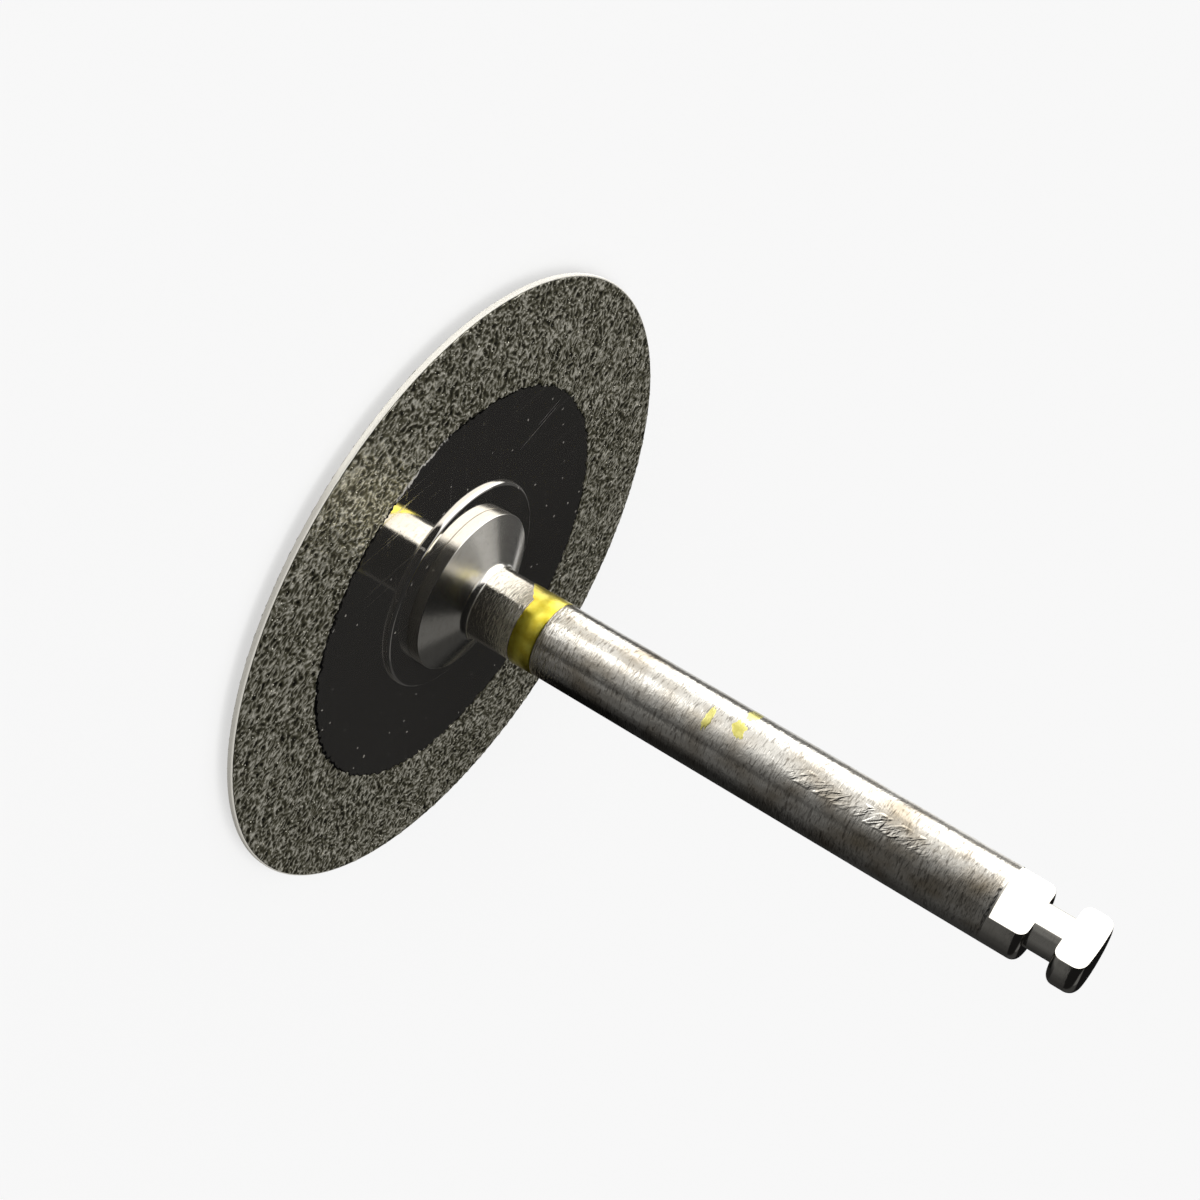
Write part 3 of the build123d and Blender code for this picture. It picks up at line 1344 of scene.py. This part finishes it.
@dataclass
class StrayLacquer:
    """Three stray marks of yellow lacquer on the shank, thin and ragged."""

    steel_radius: float = 1.175
    film: float = 0.006
    sink: float = 0.003
    marks: tuple[PaintMark, ...] = (
        PaintMark(9.71, 22.3, 20.0, 0.12, 0.04),
        PaintMark(10.63, 12.3, 13.0, 0.19, 0.08),
        PaintMark(10.66, -30.0, 21.0, 0.17, 0.0),
    )
    outline_steps: int = 40
    ring_steps: int = 5

    def mark_rows(self, mark: PaintMark, seed: float) -> list[list[Point]]:
        """Lay out one mark as rings from its middle to its edge, and back under it.

        Args:
            mark: The mark.
            seed: Number that picks its ragged outline.

        Returns:
            Rings of points.
        """
        under = self.steel_radius - self.sink
        skin = self.steel_radius + self.film
        top = [(step / self.ring_steps, skin) for step in range(self.ring_steps)]
        top.append((1.0, self.steel_radius + 0.2 * self.film))
        rows = []
        for share, radius in top + [(1.0, under), (0.0, under)]:
            row = []
            for step in range(self.outline_steps):
                turn = math.tau * step / self.outline_steps
                ragged = 1 + 0.45 * wave(turn, 1.6, seed) + 0.3 * wave(turn, 4.0, seed + 0.5)
                across = math.cos(turn) * share * ragged
                along = math.sin(turn) * share * ragged
                azimuth = math.radians(mark.azimuth + mark.half_angle * across)
                height = mark.height + mark.half_width * along + mark.slant * across
                row.append((radius * math.cos(azimuth), radius * math.sin(azimuth), height))
            rows.append(row)
        return rows

    def build(self, finish: bpy.types.Material) -> bpy.types.Object:
        """Make the marks.

        Args:
            finish: Their material.

        Returns:
            The piece.
        """
        vertices: list[Point] = []
        faces: list[tuple[int, ...]] = []
        for number, mark in enumerate(self.marks):
            rows = self.mark_rows(mark, 20.0 + number)
            base = len(vertices)
            vertices += [point for row in rows for point in row]
            faces += [
                tuple(base + index for index in face)
                for face in strip_faces(len(rows), self.outline_steps, True, False)
            ]
        piece = make_piece("stray_lacquer", vertices, faces, crease=70.0)
        return settle(piece, finish, Slot.YELLOW_PAINT)


@dataclass(frozen=True)
class Board:
    """One surface of the light tent, whose brightness is graded round the object.

    Attributes:
        name: Name of the stage piece.
        start: One end of its profile as (radius, height).
        end: The other end.
        stretches: Even stretches with soft joins between them. Each is the angles, from the camera
            towards the picture's upper right, at which it begins and ends, and its brightness, where
            1 is the white of the paper.
    """

    name: str
    start: tuple[float, float]
    end: tuple[float, float]
    stretches: tuple[tuple[float, float, float], ...]


@dataclass
class Studio:
    """Camera, lamps, table and the light tent that the metal reflects."""

    camera_azimuth: float = 37.3
    camera_distance: float = 63.26
    camera_height: float = 28.36
    aim: Point = (1.06, -1.32, 4.74)
    roll: float = 119.97
    focal_length: float = 69.58
    sensor: float = 36.0
    table_radius: float = 4000.0
    table_top: float = -0.01
    table_light: float = 0.6
    table_colour: str = "#a9a9a9"
    tent_radius: float = 400.0
    tent_foot: float = -5.0
    tent_height: float = 630.0
    tent_peak: float = 945.0
    tent_split: float = 0.46
    segments: int = 180
    board_radii: tuple[float, ...] = (10.1, 12.2, 23.0, 60.0, 400.0)
    brightness: float = 2.6
    key_strength: float = 1.6
    key_size: float = 50.0
    key_height: float = 62.0
    ambient: float = 0.5

    def build_camera(self) -> None:
        """Set up the camera at the photograph's viewing angle."""
        turn = math.radians(self.camera_azimuth)
        distance = self.camera_distance
        place = Vector((distance * math.cos(turn), distance * math.sin(turn), self.camera_height))
        look = (Vector(self.aim) - place).normalized()
        side = look.cross(Vector((0, 0, 1))).normalized()
        up = side.cross(look)
        tilt = math.radians(self.roll)
        right = math.cos(tilt) * side + math.sin(tilt) * up
        over = math.cos(tilt) * up - math.sin(tilt) * side
        data = bpy.data.cameras.new("camera")
        data.lens = self.focal_length
        data.sensor_width = self.sensor
        data.clip_start = 1.0 * MM
        data.clip_end = 20.0
        camera = bpy.data.objects.new("camera", data)
        facing = Matrix((right, over, -look)).transposed().to_4x4()
        camera.matrix_world = Matrix.Translation(place * MM) @ facing
        bpy.context.scene.collection.objects.link(camera)
        bpy.context.scene.camera = camera

    def stage_piece(
        self, name: str, start: tuple[float, float], end: tuple[float, float], finish: bpy.types.Material
    ) -> bpy.types.Object:
        """Turn a line round the axis into a stage piece.

        Args:
            name: Name of the piece.
            start: One end of the line as (radius, height).
            end: Its other end.
            finish: Its material.

        Returns:
            The piece.
        """
        piece = turned_piece(name, [start, end], self.segments, False)
        piece.data.materials.append(finish)
        LOGGER.info("stage piece %s", name)
        return piece

    def build_table(self) -> None:
        """Lay the white table. It shows white to the camera and to the metal, and takes the shadow."""
        material = bpy.data.materials.new("white_table")
        add = cleared_tree(material)
        path = add("ShaderNodeLightPath")
        seen = path["Is Camera Ray"]
        for ray in ("Is Glossy Ray", "Is Transmission Ray"):
            seen = add("ShaderNodeMath", (seen, path[ray]), operation="MAXIMUM")[0]
        strength = add("ShaderNodeMath", (seen, self.table_light), operation="MULTIPLY")[0]
        glow = add("ShaderNodeEmission", {"Strength": strength})[0]
        paper = add("ShaderNodeBsdfDiffuse", {"Color": self.table_colour})[0]
        both = add("ShaderNodeAddShader", (glow, paper))[0]
        add("ShaderNodeOutputMaterial", {"Surface": both})
        self.stage_piece("table", (0.0, self.table_top), (self.table_radius, self.table_top), material)

    def tent_material(self, board: Board) -> bpy.types.Material:
        """Build the glow of a surface of the tent, graded round the object.

        Args:
            board: The surface.

        Returns:
            The material.
        """
        material = bpy.data.materials.new(board.name)
        add = cleared_tree(material)
        turn = {
            "Vector": add("ShaderNodeTexCoord")["Object"],
            "Scale": (1.0, -1.0, 1.0),
            "Rotation": (0.0, 0.0, math.radians(self.camera_azimuth)),
        }
        turned = add("ShaderNodeMapping", turn)[0]
        sweep = add("ShaderNodeTexGradient", {"Vector": turned}, gradient_type="RADIAL")["Fac"]
        shade = add("ShaderNodeValToRGB", {"Fac": sweep})[0]
        elements = shade.node.color_ramp.elements
        stops = [(edge, level) for start, end, level in board.stretches for edge in (start, end)]
        for number, (angle, level) in enumerate(stops):
            position = (angle + 180.0) / 360.0
            stop = elements[number] if number < 2 else elements.new(position)
            stop.position = position
            stop.color = (level, level, level, 1.0)
        glow = add("ShaderNodeEmission", {"Color": shade, "Strength": self.brightness})[0]
        add("ShaderNodeOutputMaterial", {"Surface": glow})
        return material

    def walls(self) -> list[Board]:
        """Return the tent's two walls and its ceiling."""
        foot = (self.tent_radius, self.tent_foot)
        split = (self.tent_radius, self.tent_split * self.tent_height)
        edge = (self.tent_radius, self.tent_height)
        low_wall = (
            (-180, -168, 0.003), (-160, -140, 0.02), (-130, 38, 0.004),
            (44, 126, 1.0), (135, 163, 0.035), (170, 180, 0.003),
        )
        high_wall = (
            (-180, -168, 0.003), (-160, -140, 0.055), (-130, 38, 0.004),
            (50, 120, 1.0), (140, 160, 0.15), (170, 180, 0.003),
        )
        ceiling = ((-180, 38, 0.004), (60, 110, 0.4), (140, 160, 0.1), (170, 180, 0.003))
        return [
            Board("tent_low_wall", foot, split, low_wall),
            Board("tent_high_wall", split, edge, high_wall),
            Board("tent_ceiling", edge, (0.0, self.tent_peak), ceiling),
        ]

    def floor_boards(self) -> list[Board]:
        """Return the rings of the tent's floor, from the disc's rim outwards."""
        inner = ((-180, -20, 0.003), (-8, 0, 0.12), (9, 112, 1.0), (124, 140, 0.06), (150, 180, 0.3))
        near = (
            (-180, -112, 0.002), (-92, -88, 0.02), (-74, -60, 0.05), (-48, -42, 0.09), (-35, -33, 0.03),
            (-23, -21, 0.08), (-10, 0, 0.18), (11, 13, 0.33), (22, 24, 0.55), (31, 41, 1.0),
            (47, 60, 0.43), (73, 75, 0.52), (84, 112, 1.0), (124, 140, 0.06), (150, 180, 0.3),
        )
        far = (
            (-180, -108, 0.007), (-89, -87, 0.018), (-74, -60, 0.045), (-50, -44, 0.062),
            (-35, -33, 0.03), (-23, -21, 0.062), (-10, -9, 0.115), (0, 1, 0.175), (11, 13, 0.28),
            (22, 48, 0.46), (60, 62, 0.44), (73, 75, 0.56), (84, 114, 1.0), (124, 142, 0.08),
            (152, 180, 0.3),
        )
        outer = (
            (-180, -130, 0.013), (-108, -104, 0.02), (-88, -86, 0.032), (-74, -34, 0.04),
            (-23, -9, 0.072), (0, 1, 0.1), (11, 12, 0.16), (23, 24, 0.27), (35, 47, 0.35),
            (60, 62, 0.5), (72, 114, 1.0), (126, 142, 0.15), (152, 180, 0.4),
        )
        ends = zip(self.board_radii, self.board_radii[1:], (inner, near, far, outer))
        return [
            Board(f"tent_floor_{number}", (start, 0.0), (end, 0.0), stretches)
            for number, (start, end, stretches) in enumerate(ends)
        ]

    def build_tent(self) -> None:
        """Stand the tent round the object: white and dark surfaces that only reflections see."""
        for board in self.walls() + self.floor_boards():
            piece = self.stage_piece(board.name, board.start, board.end, self.tent_material(board))
            for ray in ("camera", "diffuse", "transmission", "volume_scatter", "shadow"):
                setattr(piece, f"visible_{ray}", False)

    def build_light(self) -> None:
        """Set a soft key lamp and an even white surround."""
        lamp = bpy.data.lights.new("key_light", "SUN")
        lamp.energy = self.key_strength
        lamp.angle = math.radians(self.key_size)
        key = bpy.data.objects.new("key_light", lamp)
        azimuth = math.radians(self.camera_azimuth)
        height = math.radians(self.key_height)
        level = math.cos(height)
        towards = Vector((math.cos(azimuth) * level, math.sin(azimuth) * level, math.sin(height)))
        key.matrix_world = towards.to_track_quat("Z", "Y").to_matrix().to_4x4()
        key.visible_glossy = False
        bpy.context.scene.collection.objects.link(key)
        world = bpy.data.worlds.new("studio")
        bpy.context.scene.world = world
        add = cleared_tree(world)
        diffuse = add("ShaderNodeLightPath")["Is Diffuse Ray"]
        strength = add("ShaderNodeMapRange", {0: diffuse, 3: 1.0, 4: self.ambient})[0]
        glow = add("ShaderNodeBackground", {"Strength": strength})[0]
        add("ShaderNodeOutputWorld", {"Surface": glow})

    def build(self) -> None:
        """Build camera, table, tent and light."""
        self.build_camera()
        self.build_table()
        self.build_tent()
        self.build_light()


def main() -> None:
    """Build the studio and the pieces."""
    logging.basicConfig(level=logging.INFO, format="%(message)s")
    bpy.context.scene.view_settings.view_transform = "Standard"
    # Without a seed, Blender's vector noise takes its offsets from the clock and each run differs.
    noise.seed_set(NOISE_SEED)
    Studio().build()
    ground = GroundSteel().material("ground_stainless_steel")
    mirror = MirrorSteel().material("polished_spring_steel")
    blade_low, blade_high = box_mm("disc_blade")
    half_blade = (blade_high.z - blade_low.z) / 2
    crests = half_blade + GRIT_HEIGHT
    bond = NickelBond().material("electroplated_nickel", blade_low.z + half_blade, half_blade, crests)
    grain = DiamondGrain().material("nickel_clad_diamond")
    lacquer = YellowLacquer().material("yellow_lacquer")
    Mandrel().build(ground)
    Blade().build(mirror)
    washers = Washers()
    washers.build_rear(mirror)
    washers.build_front(ground)
    for side in Side:
        layer = GritLayer(side)
        layer.build_skin(bond)
        layer.build_grains(grain)
    ColourBand().build(lacquer)
    faded = YellowLacquer("#c9bf5e", "#e4dc86").material("faded_yellow_lacquer")
    StrayLacquer().build(faded)


if __name__ == "__main__":
    main()
